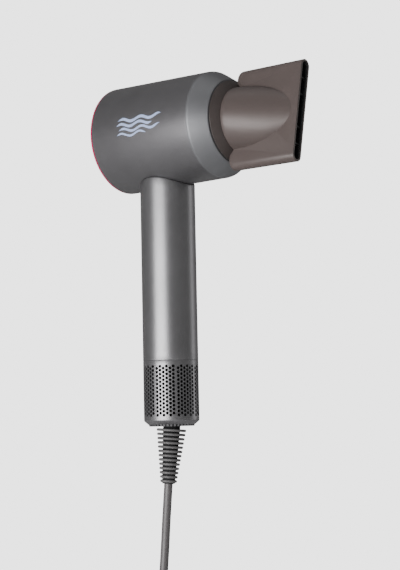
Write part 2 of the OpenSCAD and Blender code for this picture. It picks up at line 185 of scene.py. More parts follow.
# Near-black rubber for the faces between the relief's rings: painted shade where the rings shade the core.
RELIEF_PAINTED_SHADE = surface("relief_painted_shade", (0.022, 0.022, 0.023), 0.8, grain=0.15, spec=0.12)
CORD = surface("cord_jacket", (0.115, 0.107, 0.108), 0.42, grain=0.10, grain_scale=1800, stretch=(1, 1, 0.15))
MARK = surface("pale_blue_print", (0.42, 0.52, 0.80), 0.45, grain=0.02)
# Near black, for the real black components and as painted shade: the nozzle's air way walls, the slot fins and
# the ring in the grip's shadow gap take it.
BLACK_AND_PAINTED_SHADE = surface("black_parts_and_painted_shade", (0.012, 0.012, 0.013), 0.6, grain=0.1)
PALE = surface("pale_button", (0.30, 0.30, 0.315), 0.38, grain=0.06)
BLUE = surface("blue_button", (0.03, 0.09, 0.26), 0.35, grain=0.05)
RED = surface("red_slider", (0.38, 0.014, 0.022), 0.33, grain=0.05)
LENS = surface("lens_white", (0.75, 0.77, 0.80), 0.25, grain=0.02, coat=0.3)
STEEL = surface("bare_steel", (0.50, 0.50, 0.51), 0.30, metal=1.0, grain=0.1, stretch=(1, 1, 0.1))
# Near black: the filter mesh's own dark colour and painted shade, so the cage's holes read black.
MESH = surface("dark_mesh_and_painted_shade", (0.006, 0.006, 0.006), 0.9, grain=0.6, grain_scale=1400, spec=0.08)
ALLOY = surface("machined_alloy", (0.55, 0.55, 0.57), 0.35, metal=1.0, grain=0.1, stretch=(1, 1, 0.1))
COPPER = surface("copper_wire", (0.60, 0.25, 0.12), 0.35, metal=1.0, grain=0.4, grain_scale=1200)
CERAMIC = surface("mica", (0.52, 0.46, 0.33), 0.6, grain=0.3, tone=0.15, tone_scale=120)
BOARD = surface("board_green", (0.010, 0.060, 0.024), 0.35, grain=0.15, grain_scale=900, tone=0.2)
IVORY = surface("ivory_nylon", (0.62, 0.58, 0.47), 0.5, grain=0.1)
IRON = surface("lamination", (0.14, 0.14, 0.15), 0.45, metal=0.9, grain=0.4, stretch=(0.1, 0.1, 4))
RUBBER = surface("black_rubber", (0.016, 0.016, 0.016), 0.7, grain=0.25)
STRAP = surface("woven_strap", (0.014, 0.014, 0.015), 0.85, grain=0.9, grain_scale=900, sheen=0.3)
PLUG = surface("plug_plastic", (0.105, 0.102, 0.104), 0.42, grain=0.12, grain_scale=2000)
BRASS = surface("nickel_pin", (0.62, 0.61, 0.58), 0.22, metal=1.0, grain=0.05)

SLOT_MATERIALS = {
    "metal_grey": BARREL, "nose_grey": NOSE, "accent_fuchsia": FUCHSIA, "handle_grey": HANDLE,
    "nozzle_taupe": TAUPE, "trim_dark": TRIM, "button_grey": PALE, "button_blue": BLUE,
    "slider_red": RED, "lens_white": LENS, "ceramic": CERAMIC, "bare_steel": STEEL,
    "heater_wire": STEEL, "board_green": BOARD, "component_black": BLACK_AND_PAINTED_SHADE, "connector_ivory": IVORY,
    "motor_alloy": ALLOY, "soft_rubber": RUBBER, "lamination": IRON, "copper": COPPER,
    "relief_rubber": RELIEF, "cord_rubber": CORD, "tie_black": STRAP, "plug_grey": PLUG,
    "pin_metal": BRASS,
}

for part in frame["record"]["subparts"]:
    piece = frame["nodes"][part["node"]]
    piece.data.materials.clear()
    piece.data.materials.append(SLOT_MATERIALS[part["material_slot"]])
# The filter mesh behind the cage takes the near-black finish: its own dark colour and painted shade in the
# holes.
frame["nodes"]["filter_mesh"].data.materials[0] = MESH
# The slot fins take near black: painted shade inside the nozzle's slot.
frame["nodes"]["slot_fins"].data.materials[0] = BLACK_AND_PAINTED_SHADE

# ---- Mesh helpers ----


def add_piece(name, mesh, material, body, slot, smooth_angle=35):
    """Adds a mesh as a piece that rides on a body."""
    mesh.materials.append(material)
    mesh.polygons.foreach_set("use_smooth", [True] * len(mesh.polygons))
    mesh.set_sharp_from_angle(angle=math.radians(smooth_angle))
    obj = bpy.data.objects.new(name, mesh)
    bpy.context.scene.collection.objects.link(obj)
    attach(obj, body)
    return obj


def mesh_of(name, verts, faces):
    """A mesh from points in millimetres."""
    mesh = bpy.data.meshes.new(name)
    mesh.from_pydata([[c * MM for c in v] for v in verts], [], faces)
    work = bmesh.new()
    work.from_mesh(mesh)
    bmesh.ops.remove_doubles(work, verts=work.verts, dist=1e-7)
    bmesh.ops.recalc_face_normals(work, faces=work.faces)
    work.to_mesh(mesh)
    work.free()
    return mesh


def rounded(points, steps=5):
    """A closed outline with arcs for corners. A point is (radius, place), with a corner radius if round."""
    out = []
    n = len(points)
    for i, point in enumerate(points):
        here = Vector(point[:2])
        size = point[2] if len(point) > 2 else 0
        if size <= 0:
            out.append(here)
            continue
        back = (Vector(points[i - 1][:2]) - here).normalized()
        on = (Vector(points[(i + 1) % n][:2]) - here).normalized()
        half = back.angle(on) / 2
        reach = size / math.tan(half)
        middle = here + (back + on).normalized() * (size / math.sin(half))
        start, end = here + back * reach - middle, here + on * reach - middle
        sweep = start.angle_signed(end)
        for k in range(steps + 1):
            t = -sweep * k / steps
            turned = Vector((start.x * math.cos(t) - start.y * math.sin(t),
                             start.x * math.sin(t) + start.y * math.cos(t)))
            out.append(middle + turned)
    return out


def revolved(name, outline, along, segments=192):
    """A round solid from a closed outline of (radius, place), about the handle ("z") or the head ("x")."""
    verts, faces = [], []
    n = len(outline)
    for k in range(segments):
        a = 2 * math.pi * k / segments
        for r, h in outline:
            if along == "z":
                verts.append((r * math.cos(a), r * math.sin(a), h))
            else:
                verts.append((h, r * math.cos(a), HEAD_Z + r * math.sin(a)))
    for k in range(segments):
        m = (k + 1) % segments
        for i in range(n):
            j = (i + 1) % n
            faces.append((k * n + i, k * n + j, m * n + j, m * n + i))
    return mesh_of(name, verts, faces)


def cut(obj, cutter, operation="DIFFERENCE"):
    """Applies a boolean and removes the cutter."""
    change = obj.modifiers.new("cut", "BOOLEAN")
    change.object, change.operation, change.solver = cutter, operation, "EXACT"
    apply_modifiers(obj)
    bpy.data.objects.remove(cutter)


def apply_modifiers(obj):
    """Replaces a piece's mesh by the one that its modifiers give."""
    seen = obj.evaluated_get(bpy.context.evaluated_depsgraph_get())
    mesh = bpy.data.meshes.new_from_object(seen)
    obj.modifiers.clear()
    obj.data = mesh


def loose(name, mesh):
    """A temporary object, for use as a cutter."""
    obj = bpy.data.objects.new(name, mesh)
    bpy.context.scene.collection.objects.link(obj)
    return obj


def stadium(width, height, middle, steps=16):
    """Points (across, up) of an outline with round ends."""
    r = width / 2
    out = []
    for end, start in ((1, 0), (-1, 180)):
        for k in range(steps + 1):
            a = math.radians(start + 180 * k / steps)
            out.append((r * math.cos(a), middle + end * (height / 2 - r) + r * math.sin(a)))
    return out


def prism(name, outline, x0, x1):
    """A solid with an outline of (y, z) points, from x0 to x1."""
    n = len(outline)
    verts = [(x, y, z) for x in (x0, x1) for y, z in outline]
    faces = [tuple(range(n)), tuple(range(2 * n - 1, n - 1, -1))]
    faces += [(i, (i + 1) % n, n + (i + 1) % n, n + i) for i in range(n)]
    return mesh_of(name, verts, faces)


# ---- Cord ----

CORD_D = 6.2
CORD_ROUTE = [(-2.47, -2.07, -151.38), (-2.96, -2.48, -159.86), (-3.45, -2.89, -168.33),
              (-4.02, -3.37, -178.3), (-4.55, -3.95, -190), (-4.9, -4.85, -202), (-5, -6.2, -214),
              (-5, -7.7, -226), (-5, -8.9, -238), (-5, -9.5, -250), (-5, -9.6, -270)]
TAIL_ROUTE = [(-5, 9.6, -270), (-5, 9.6, -283), (-5, 9.6, -298), (-5, 9.6, -313), (-5, 9.6, -324)]
COIL_MIDDLE = Vector((-45.1, 0, -270))
COIL_OUTER, COIL_INNER = 40.1, 33.7
LAYER = 6.4
TURN_POINTS = 48


def smooth(t):
    """Eases a share from 0 to 1."""
    return t * t * (3 - 2 * t)


def coil_points():
    """Turns that go out and in, layer by layer, from the cord that comes down to the tail that goes down."""
    turns = [(COIL_OUTER, COIL_INNER, 0), (COIL_INNER, COIL_INNER, 1), (COIL_INNER, COIL_OUTER, 0),
             (COIL_OUTER, COIL_OUTER, 1), (COIL_OUTER, COIL_INNER, 0), (COIL_INNER, COIL_INNER, 1),
             (COIL_INNER, COIL_OUTER, 0)]
    points, layer = [], 0
    for start, end, climbs in turns:
        for k in range(TURN_POINTS):
            t = k / TURN_POINTS
            blend = smooth(min(1, max(0, (t - 0.45) / 0.3)))
            r = start + (end - start) * blend
            y = (layer - 1.5 + climbs * smooth(min(1, max(0, (t - 0.2) / 0.6)))) * LAYER
            a = -2 * math.pi * t
            points.append((COIL_MIDDLE.x + r * math.cos(a), y, COIL_MIDDLE.z + r * math.sin(a)))
        layer += climbs
    return points


def path_length(points):
    """Length of a route in millimetres."""
    return sum((Vector(b) - Vector(a)).length for a, b in zip(points, points[1:]))


def make_cord():
    """The mains cord as one smooth curve, from the strain relief through the coil to the plug."""
    points = CORD_ROUTE[:-1] + coil_points() + TAIL_ROUTE
    data = bpy.data.curves.new("mains_cord", "CURVE")
    data.dimensions = "3D"
    data.bevel_depth = CORD_D / 2 * MM
    data.bevel_resolution = 6
    data.resolution_u = 3
    data.use_fill_caps = True
    spline = data.splines.new("BEZIER")
    spline.bezier_points.add(len(points) - 1)
    for place, point in zip(spline.bezier_points, points):
        place.co = Vector(point) * MM
        place.handle_left_type = place.handle_right_type = "AUTO"
    data.materials.append(CORD)
    obj = bpy.data.objects.new("mains_cord", data)
    bpy.context.scene.collection.objects.link(obj)
    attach(obj, "dryer")
    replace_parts(obj, "cord", "cord_coil", "cord_tail")
    return obj, path_length(points)


# ---- Plug and tie ----


def make_plug():
    """A flat two-pin plug with a ribbed neck and rounded shoulders."""
    low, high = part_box("plug_body")
    x0, y0 = (low.x + high.x) / 2 / MM, (low.y + high.y) / 2 / MM
    face, top = low.z / MM, high.z / MM
    rings = ((face, 18.2, 12.2), (face + 0.8, 19, 13), (face + 20, 19, 13), (face + 23, 18, 12.4),
             (face + 26, 14.5, 10.5), (face + 28, 10, 8.4), (face + 29.5, 7.4, 7.0))
    verts, faces = [], []
    count = 64
    for z, half_w, half_d in rings:
        flat = half_w - half_d
        for k in range(count):
            a = 2 * math.pi * k / count
            shift = flat if math.cos(a) > 0 else -flat
            verts.append((x0 + half_d * math.cos(a) + shift, y0 + half_d * math.sin(a), z))
    neck = [(6.6, top - 6)]
    for i in range(4):
        z = top - 5.6 + i * 1.4
        rib, gap = 6.4 - 0.3 * i, 5.2 - 0.3 * i
        neck += [(rib, z), (rib, z + 0.8), (gap, z + 0.9), (gap, z + 1.3)]
    neck += [(3.12, top)]
    for r, z in neck:
        for k in range(count):
            a = 2 * math.pi * k / count
            verts.append((x0 + r * math.cos(a), y0 + r * math.sin(a), z))
    rows = len(verts) // count
    for i in range(rows - 1):
        for k in range(count):
            m = (k + 1) % count
            faces.append((i * count + k, i * count + m, (i + 1) * count + m, (i + 1) * count + k))
    faces.append(tuple(range(count)))
    faces.append(tuple(range((rows - 1) * count, rows * count)))
    obj = add_piece("moulded_plug", mesh_of("moulded_plug", verts, faces), PLUG, "dryer", "plug_grey", 30)
    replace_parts(obj, "plug_body")
    return obj


def make_pins():
    """Two round pins with rounded tips."""
    low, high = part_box("plug_pins")
    y0 = (low.y + high.y) / 2
    r = (high.y - low.y) / 2 / MM
    outline = rounded([(0, low.z / MM), (r, low.z / MM, 1.2), (r, high.z / MM), (0, high.z / MM)])
    pins = []
    for name, x in (("pin_left", low.x / MM + r), ("pin_right", high.x / MM - r)):
        mesh = revolved(name, outline, "z", 48)
        mesh.transform(Matrix.Translation((x * MM, y0, 0)))
        pins.append(add_piece(name, mesh, BRASS, "dryer", "pin_metal"))
    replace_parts(pins[0], "plug_pins")
    return pins


def make_tie():
    """A strap round the coil's section, with rounded corners."""
    low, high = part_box("coil_tie")
    x0, z0 = (low.x + high.x) / 2 / MM, (low.z + high.z) / 2 / MM
    w, h = (high.y - low.y) / 2 / MM - 0.1, (high.z - low.z) / 2 / MM - 0.2
    verts, faces = [], []
    loop = []
    corner = 4.0
    for sx, sz, start in ((1, 1, 0), (-1, 1, 90), (-1, -1, 180), (1, -1, 270)):
        for k in range(7):
            a = math.radians(start + 90 * k / 6)
            loop.append((sx * (w - corner) + corner * math.cos(a), sz * (h - corner) + corner * math.sin(a),
                         math.cos(a), math.sin(a)))
    half = 3.9
    section = [(-half, -1.2), (-half, -0.3), (-half + 0.3, 0), (half - 0.3, 0), (half, -0.3), (half, -1.2)]
    n = len(section)
    for y, z, ny, nz in loop:
        for x, out in section:
            verts.append((x0 + x, y + ny * out, z0 + z + nz * out))
    for i in range(len(loop)):
        j = (i + 1) % len(loop)
        for k in range(n):
            m = (k + 1) % n
            faces.append((i * n + k, i * n + m, j * n + m, j * n + k))
    obj = add_piece("coil_strap", mesh_of("coil_strap", verts, faces), STRAP, "dryer", "tie_black", 40)
    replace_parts(obj, "coil_tie")
    return obj


cord, cord_length = make_cord()
plug = make_plug()
pins = make_pins()
tie = make_tie()
tuple(c * MM for c in CORD_ROUTE[0])

# ---- Head ----


def make_head():
    """Barrel, rear bezel, bore sleeve and nose ring, each a turned part with rounded edges."""
    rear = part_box("head_shell")[0].x / MM
    wall = 1.6
    barrel = revolved("barrel", rounded([
        (barrel_r(rear) - wall, rear), (barrel_r(rear), rear, 0.25), (barrel_r(NOSE_X), NOSE_X, 0.4),
        (barrel_r(NOSE_X) - wall, NOSE_X)]), "x", 256)
    hole = revolved("air_way", [(0, HEAD_Z - 45), (16.2, HEAD_Z - 45), (16.2, HEAD_Z - 20), (0, HEAD_Z - 20)],
                    "z", 96)
    obj = add_piece("barrel", barrel, BARREL, "dryer", "metal_grey")
    cut(obj, loose("air_way", hole))
    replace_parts(obj, "head_shell")

    r = barrel_r(rear)
    bezel = revolved("bezel", rounded([
        (r - 0.02, rear), (r - 0.02, REAR_X, 0.6), (r - 1.6, REAR_X, 0.5), (31, -37.2, 3), (25, -36.2),
        (25, -34.7), (31, -35.6, 3), (35.8, -37.0), (35.8, -35.0), (r - wall - 0.1, -35.0),
        (r - wall - 0.1, rear)]), "x", 256)
    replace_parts(add_piece("bezel", bezel, FUCHSIA, "dryer", "accent_fuchsia"), "rear_bezel")

    sleeve = revolved("bore_lining", rounded([
        (25, -36.2, 0.3), (23, -35.4, 1.5), (21.2, -32.5, 3), (20, -26, 6), (20, 55), (21, 57.2),
        (25.2, 58), (25.2, 57), (22.3, 56), (21.5, 53), (21.5, -26), (22.5, -31.5), (23.8, -33.8),
        (25, -34.7)]), "x", 192)
    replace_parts(add_piece("bore_lining", sleeve, BARREL, "dryer", "metal_grey"), "bore_sleeve")

    front = NOSE_FRONT_X
    nose = revolved("nose_cone", rounded([
        (NOSE_R - 0.12, NOSE_X), (NOSE_R - 0.02, NOSE_X + 1.1, 3.6), (30.3, front, 1.0),
        (27.3, front, 0.5), (27.3, front - 2.7),
        (29.9, front - 2.7), (34.6, 51.5), (34.6, 45), (36.3, 45), (36.3, NOSE_X)]), "x", 256)
    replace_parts(add_piece("nose_cone", nose, NOSE, "dryer", "nose_grey"), "nose_ring")


def make_mark():
    """A generic breeze mark on the barrel: waves of different lengths in pale blue print."""
    verts, faces = [], []
    side = -96.0
    strokes = [(-13, 40, 9.6, 1.05), (-14, 33, 6.0, 0.95), (-12, 38, 2.4, 0.85), (-14, 27, -0.9, 0.7)]
    for x0, length, up, half in strokes:
        count, across = 64, 4
        base = len(verts)
        for i in range(count + 1):
            t = i / count
            x = x0 + length * t
            taper = min(1, math.sin(math.pi * min(t, 1 - t) * 3.5) if min(t, 1 - t) < 1 / 7 else 1)
            wave = 1.15 * math.sin(2 * math.pi * t * length / 17)
            for k in range(across + 1):
                s = (k / across * 2 - 1) * half * max(taper, 0.05)
                r = barrel_r(x) + 0.035
                a = math.radians(side) + (up + wave + s) / r
                verts.append((x, r * math.sin(a), HEAD_Z + r * math.cos(a)))
        row = across + 1
        for i in range(count):
            for k in range(across):
                a = base + i * row + k
                faces.append((a, a + 1, a + row + 1, a + row))
    mesh = bpy.data.meshes.new("breeze_mark")
    mesh.from_pydata([[c * MM for c in v] for v in verts], [], faces)
    obj = add_piece("breeze_mark", mesh, MARK, "dryer", "metal_grey")
    return obj


# ---- Handle ----


def make_handle():
    """The round grip, coped to the barrel with a fine shadow gap, and with a window for the controls."""
    count = 256
    inner = HANDLE_R - 1.6
    verts, faces = [], []
    for k in range(count):
        a = 2 * math.pi * k / count
        x, y = math.cos(a), math.sin(a)

        def top(r, gap):
            reach = barrel_r(r * x) + gap
            return HEAD_Z - math.sqrt(reach * reach - (r * y) ** 2)

        column = [(inner, SEAM_Z), (HANDLE_R - 0.25, SEAM_Z), (HANDLE_R - 0.07, SEAM_Z + 0.07),
                  (HANDLE_R, SEAM_Z + 0.25)]
        high = top(HANDLE_R, 0.35) - 1.1
        column += [(HANDLE_R, SEAM_Z + 0.25 + (high - SEAM_Z - 0.25) * i / 24) for i in range(1, 25)]
        column += [(HANDLE_R - d, top(HANDLE_R - d, 0.35) - drop) for d, drop in
                   ((0.05, 0.75), (0.18, 0.45), (0.42, 0.18), (0.75, 0.04))]
        column += [(HANDLE_R - 1.0, top(HANDLE_R - 1.0, 0.35)), (inner, top(inner, 0.35))]
        verts += [(r * x, r * y, z) for r, z in column]
    rows = len(verts) // count
    for k in range(count):
        m = (k + 1) % count
        for i in range(rows):
            j = (i + 1) % rows
            faces.append((k * rows + i, m * rows + i, m * rows + j, k * rows + j))
    obj = add_piece("grip", mesh_of("grip", verts, faces), HANDLE, "dryer", "handle_grey", 40)
    low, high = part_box("control_panel")
    middle, height = (low.z + high.z) / 2 / MM, (high.z - low.z) / MM - 3
    cut(obj, loose("window", prism("window", stadium(14, height, middle), -22, -14)))
    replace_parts(obj, "handle_shell")

    # A thin near-black ring in the gap between grip and barrel: painted shadow in the shadow gap.
    ring, strip = [], []
    for k in range(count):
        a = 2 * math.pi * k / count
        for r in (HANDLE_R - 1.5, HANDLE_R - 0.7):
            x, y = r * math.cos(a), r * math.sin(a)
            for gap in (0.02, 0.9):
                reach = barrel_r(x) + gap
                ring.append((x, y, HEAD_Z - math.sqrt(reach * reach - y * y)))
    for k in range(count):
        m = (k + 1) % count
        for i, j in ((0, 1), (1, 3), (3, 2), (2, 0)):
            strip.append((k * 4 + i, k * 4 + j, m * 4 + j, m * 4 + i))
    add_piece("painted_shadow_ring", mesh_of("painted_shadow_ring", ring, strip), BLACK_AND_PAINTED_SHADE, "dryer", "trim_dark")


# ---- Intake cage ----

GROUPS, COLUMNS, ROWS = 8, 6, 13
COLUMN_PITCH = 6.95
ROW_PITCH = 2.764
HOLE_R = 1.08
FIRST_ROW = -4.4
GROUP_TURN = -17.5
TEETH = 40


def make_cage():
    """The removable cage: columns of small round holes in groups, a bevelled end and a ring of fine teeth."""
    r0 = HANDLE_R
    half = ROW_PITCH / 2
    top = SEAM_Z + FIRST_ROW + half
    levels = 2 * ROWS + 2
    verts, faces, index = [], [], {}

    def vert(angle, z, r=r0):
        key = (round(angle % 360, 4), round(z, 4), round(r, 4))
        if key not in index:
            a = math.radians(angle)
            index[key] = len(verts)
            verts.append((r * math.cos(a), r * math.sin(a), z))
        return index[key]

    def level(j):
        return top - j * half

    bands = []
    for g in range(GROUPS):
        middle = GROUP_TURN + g * 360 / GROUPS
        for c in range(COLUMNS):
            centre = middle + (c - (COLUMNS - 1) / 2) * COLUMN_PITCH
            left, right = centre - COLUMN_PITCH / 2, centre + COLUMN_PITCH / 2
            bands += [(left, centre), (centre, right)]
            low = 1 if c % 2 == 0 else 0
            for i in range(ROWS):
                j = 2 * i + low
                hole_cell(vert, faces, left, centre, right, level(j), level(j + 1), level(j + 2))
            plain = levels - 1 if low == 0 else 0
            faces.append((vert(left, level(plain)), vert(centre, level(plain)),
                          vert(centre, level(plain + (-1 if low == 0 else 1))),
                          vert(left, level(plain + (-1 if low == 0 else 1)))))
            faces.append((vert(centre, level(plain)), vert(right, level(plain)),
                          vert(right, level(plain + (-1 if low == 0 else 1))),
                          vert(centre, level(plain + (-1 if low == 0 else 1)))))
        strip0 = middle + COLUMNS / 2 * COLUMN_PITCH
        strip1 = middle + 360 / GROUPS - COLUMNS / 2 * COLUMN_PITCH
        bands.append((strip0, strip1))
        for j in range(levels - 1):
            faces.append((vert(strip0, level(j)), vert(strip1, level(j)),
                          vert(strip1, level(j + 1)), vert(strip0, level(j + 1))))
    above = [(SEAM_Z, r0 - 0.25), (SEAM_Z - 0.07, r0 - 0.07), (SEAM_Z - 0.25, r0), (level(0), r0)]
    end = CAGE_CYLINDER_END
    below = [(level(levels - 1), r0), (end + 0.6, r0), (end + 0.15, r0 - 0.08), (end - 0.25, r0 - 0.38),
             (CAGE_BOTTOM_Z + 1.55, 17.2), (CAGE_BOTTOM_Z + 1.45, 16.9), (CAGE_BOTTOM_Z + 1.45, 11.6)]
    for ring in (above, below):
        for (z0, ra), (z1, rb) in zip(ring, ring[1:]):
            for a0, a1 in bands:
                faces.append((vert(a0, z0, ra), vert(a1, z0, ra), vert(a1, z1, rb), vert(a0, z1, rb)))
    mesh = mesh_of("cage", verts, faces)
    obj = add_piece("cage", mesh, HANDLE, "cage", "handle_grey", 38)
    thick = obj.modifiers.new("thick", "SOLIDIFY")
    thick.thickness = 1.2 * MM
    thick.offset = -1
    apply_modifiers(obj)
    obj.data.set_sharp_from_angle(angle=math.radians(38))
    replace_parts(obj, "filter_cage")
    make_teeth()


def hole_cell(vert, faces, left, centre, right, z0, z1, z2):
    """One cell of the cage with a round hole in its middle."""
    outer = [vert(right, z1), vert(right, z0), vert(centre, z0), vert(left, z0), vert(left, z1),
             vert(left, z2), vert(centre, z2), vert(right, z2)]
    hole = []
    for k in range(16):
        a = 2 * math.pi * k / 16
        turn = math.degrees(HOLE_R * math.cos(a) / HANDLE_R)
        hole.append(vert(centre + turn, z1 + HOLE_R * math.sin(a)))
    for i in range(8):
        j = (i + 1) % 8
        a, b, c = hole[2 * i], hole[2 * i + 1], hole[(2 * i + 2) % 16]
        faces += [(outer[i], a, b), (outer[i], b, outer[j]), (outer[j], b, c)]


def make_teeth():
    """Fine teeth round the end of the cage, and the dark ring between them."""
    verts, faces = [], []
    z0, z1 = CAGE_BOTTOM_Z + 1.5, CAGE_BOTTOM_Z + 0.03
    profile = ((16.7, z0), (16.2, z1 + 0.12), (16.08, z1), (15.3, z1), (15.3, z0))
    n = len(profile)
    for i in range(TEETH):
        middle = 2 * math.pi * (i + 0.3) / TEETH
        base = len(verts)
        for r, z in profile:
            for s in (-0.5, -0.25, 0, 0.25, 0.5):
                a = middle + s * 1.35 / 16.2
                verts.append((r * math.cos(a), r * math.sin(a), z))
        for k in range(n):
            m = (k + 1) % n
            for s in range(4):
                faces.append((base + k * 5 + s, base + k * 5 + s + 1, base + m * 5 + s + 1, base + m * 5 + s))
        for s in (0, 4):
            faces.append(tuple(base + k * 5 + s for k in range(n)))
    add_piece("cage_teeth", mesh_of("cage_teeth", verts, faces), HANDLE, "cage", "handle_grey")
    ring = rounded([(14.9, z0 - 0.1), (14.9, z1), (11.6, z1, 0.3), (11.6, z0 - 0.1)])
    add_piece("cage_floor", revolved("cage_floor", ring, "z", 96), TRIM, "cage", "trim_dark")


# ---- Strain relief ----


RELIEF_ROOT_Z = -108.5
RELIEF_LEAN = 4.3
LEAN_AZIMUTH = 40
RING_COUNT = 13
RING_PITCH = 3.03
RING_TOP_Z = -113.3
RING_HALF_T = 0.95
RING_R_TOP, RING_R_END = 10.7, 6.1


def leaned(mesh):
    """Tilts a mesh about the relief's root, as the relief leans away from the handle's centre line."""
    a = math.radians(LEAN_AZIMUTH)
    root = Matrix.Translation((0, 0, RELIEF_ROOT_Z * MM))
    turn = Matrix.Rotation(math.radians(RELIEF_LEAN), 4, (-math.sin(a), math.cos(a), 0))
    mesh.transform(root @ turn @ root.inverted())
    return mesh


def make_relief():
    """A rubber flange held by the end frame, and a tapering sleeve with thin rounded rings."""
    flange = rounded([(3.3, -106), (12, -106), (12, RELIEF_ROOT_Z, 0.4), (3.3, RELIEF_ROOT_Z)])
    add_piece("relief_flange", revolved("relief_flange", flange, "z", 96), RELIEF, "dryer", "relief_rubber")
    outline = [(3.2, RELIEF_ROOT_Z + 0.6), (6.2, RELIEF_ROOT_Z + 0.6)]
    for i in range(RING_COUNT):
        z = RING_TOP_Z - i * RING_PITCH
        core = 6.18 - 1.6 * i / RING_COUNT
        rim = RING_R_TOP + (RING_R_END - RING_R_TOP) * i / (RING_COUNT - 1) - 0.02
        outline.append((core, z + RING_HALF_T + 0.25))
        outline.append((core + 0.3, z + RING_HALF_T))
        for k in range(13):
            a = math.radians(90 - 180 * k / 12)
            outline.append((rim + RING_HALF_T * (math.cos(a) - 1), z + RING_HALF_T * math.sin(a)))
        outline += [(core + 0.3, z - RING_HALF_T), (core - 0.08, z - RING_HALF_T - 0.25)]
    end = RING_TOP_Z - (RING_COUNT - 1) * RING_PITCH - RING_HALF_T - 0.8
    outline += [(4.4, end), (3.2, end)]
    mesh = revolved("ribbed_relief", outline, "z", 128)
    # Faces near the core, between the rings, take the near-black rubber: painted shade in the gaps.
    shaded = []
    for face in mesh.polygons:
        down = (RING_TOP_Z * MM - face.center.z) / (RING_COUNT * RING_PITCH * MM)
        shaded.append(face.center.xy.length < (8.6 - 3.6 * down) * MM)
    obj = add_piece("ribbed_relief", leaned(mesh), RELIEF, "dryer", "relief_rubber", 50)
    obj.data.materials.append(RELIEF_PAINTED_SHADE)
    obj.data.polygons.foreach_set("material_index", [int(v) for v in shaded])
    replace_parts(obj, "strain_relief")


# ---- Nozzle ----

NOZZLE_TURN = 11.5
BLADE_HALF = 37.2
BLADE_T = 9.4
DUCT_R = 23.5
BULGE_X, BULGE_LENGTH = 70.0, 45.5
BLADE_REAR = 65.5
BLADE_CORNER = 2.8
NOZZLE_WALL = 1.5


def swell(x, inset):
    """Half height and half thickness of the bulge, which turns from the round duct into the flat blade."""
    duct, flat = DUCT_R - inset, BLADE_T / 2 - inset
    reach = (BULGE_LENGTH - inset) * math.sqrt(1 - (flat / duct) ** 2)
    t = min(1.0, max(0.0, (x - BULGE_X) / reach))
    thick = flat + (duct - flat) * (1 - t ** 1.2)
    edge = duct * math.sqrt(max(0.0, 1 - ((x - BULGE_X) / (BULGE_LENGTH - inset)) ** 2 - (flat / duct) ** 2))
    share = math.sqrt(max(1e-9, 1 - (flat / thick) ** 2))
    return (duct if x <= BULGE_X else min(duct, edge / share)), thick


def bulge_mesh(name, inset, x0):
    """The duct and the bulge, as rings of points from the collar to the bulge's tip."""
    flat = BLADE_T / 2 - inset
    reach = (BULGE_LENGTH - inset) * math.sqrt(1 - (flat / (DUCT_R - inset)) ** 2)
    stations = [x0] + [BULGE_X + reach * (i / 48) ** 1.1 * 0.995 for i in range(49)]
    count = 144
    verts, faces = [], []
    for x in stations:
        high, thick = swell(x, inset)
        for k in range(count):
            a = 2 * math.pi * k / count
            verts.append((x, thick * math.cos(a), high * math.sin(a)))
    rows = len(stations)
    for i in range(rows - 1):
        for k in range(count):
            m = (k + 1) % count
            faces.append((i * count + k, i * count + m, (i + 1) * count + m, (i + 1) * count + k))
    faces.append(tuple(range(count)))
    faces.append(tuple(range((rows - 1) * count, rows * count)))
    return mesh_of(name, verts, faces)


def blade_mesh(name, inset, front):
    """The blade as a flat bar with round long edges and round rear corners."""
    half_t = BLADE_T / 2 - inset
    half_h = BLADE_HALF - inset
    rear = BLADE_REAR + inset
    verts, faces = [], []
    steps = 12
    angles = [math.radians(a) for a in range(0, 91, 10)]
    stations = [rear + BLADE_CORNER - BLADE_CORNER * math.cos(a) for a in angles] + [front]
    for x in stations:
        back = max(0.0, BLADE_CORNER - (x - rear))
        drop = BLADE_CORNER - math.sqrt(max(0.0, BLADE_CORNER * BLADE_CORNER - back * back))
        reach = half_h - drop
        row = []
        for end in (1, -1):
            for k in range(steps + 1):
                a = math.radians((0 if end == 1 else 180) + 180 * k / steps)
                row.append((x, half_t * math.cos(a), end * (reach - half_t) + half_t * math.sin(a)))
        verts += row
    n = 2 * (steps + 1)
    for i in range(len(stations) - 1):
        for k in range(n):
            m = (k + 1) % n
            faces.append((i * n + k, i * n + m, (i + 1) * n + m, (i + 1) * n + k))
    faces.append(tuple(range(n)))
    faces.append(tuple(range((len(stations) - 1) * n, len(stations) * n)))
    return mesh_of(name, verts, faces)


def centred(mesh):
    """Moves a mesh made about the head's centre line so that the line runs through the origin."""
    mesh.transform(Matrix.Translation((0, 0, -HEAD_Z * MM)))
    return mesh


def is_inside_nozzle(point, normal):
    """Whether a face, given about the nozzle's own centre line, is on the wall of its air way."""
    x, y, z = point
    if normal.y * y + normal.z * z > 0:
        return False
    if x < BULGE_X:
        return math.hypot(y, z) < 19.6 + 0.8 * (x > 65)
    high, thick = swell(x, NOZZLE_WALL)
    in_bulge = math.hypot(y / (thick + 0.3), z / (high + 0.3)) < 1
    in_blade = abs(y) < BLADE_T / 2 - NOZZLE_WALL + 0.2 and abs(z) < BLADE_HALF - NOZZLE_WALL + 0.2
    return x < SLOT_X - 0.8 and (in_bulge or in_blade)


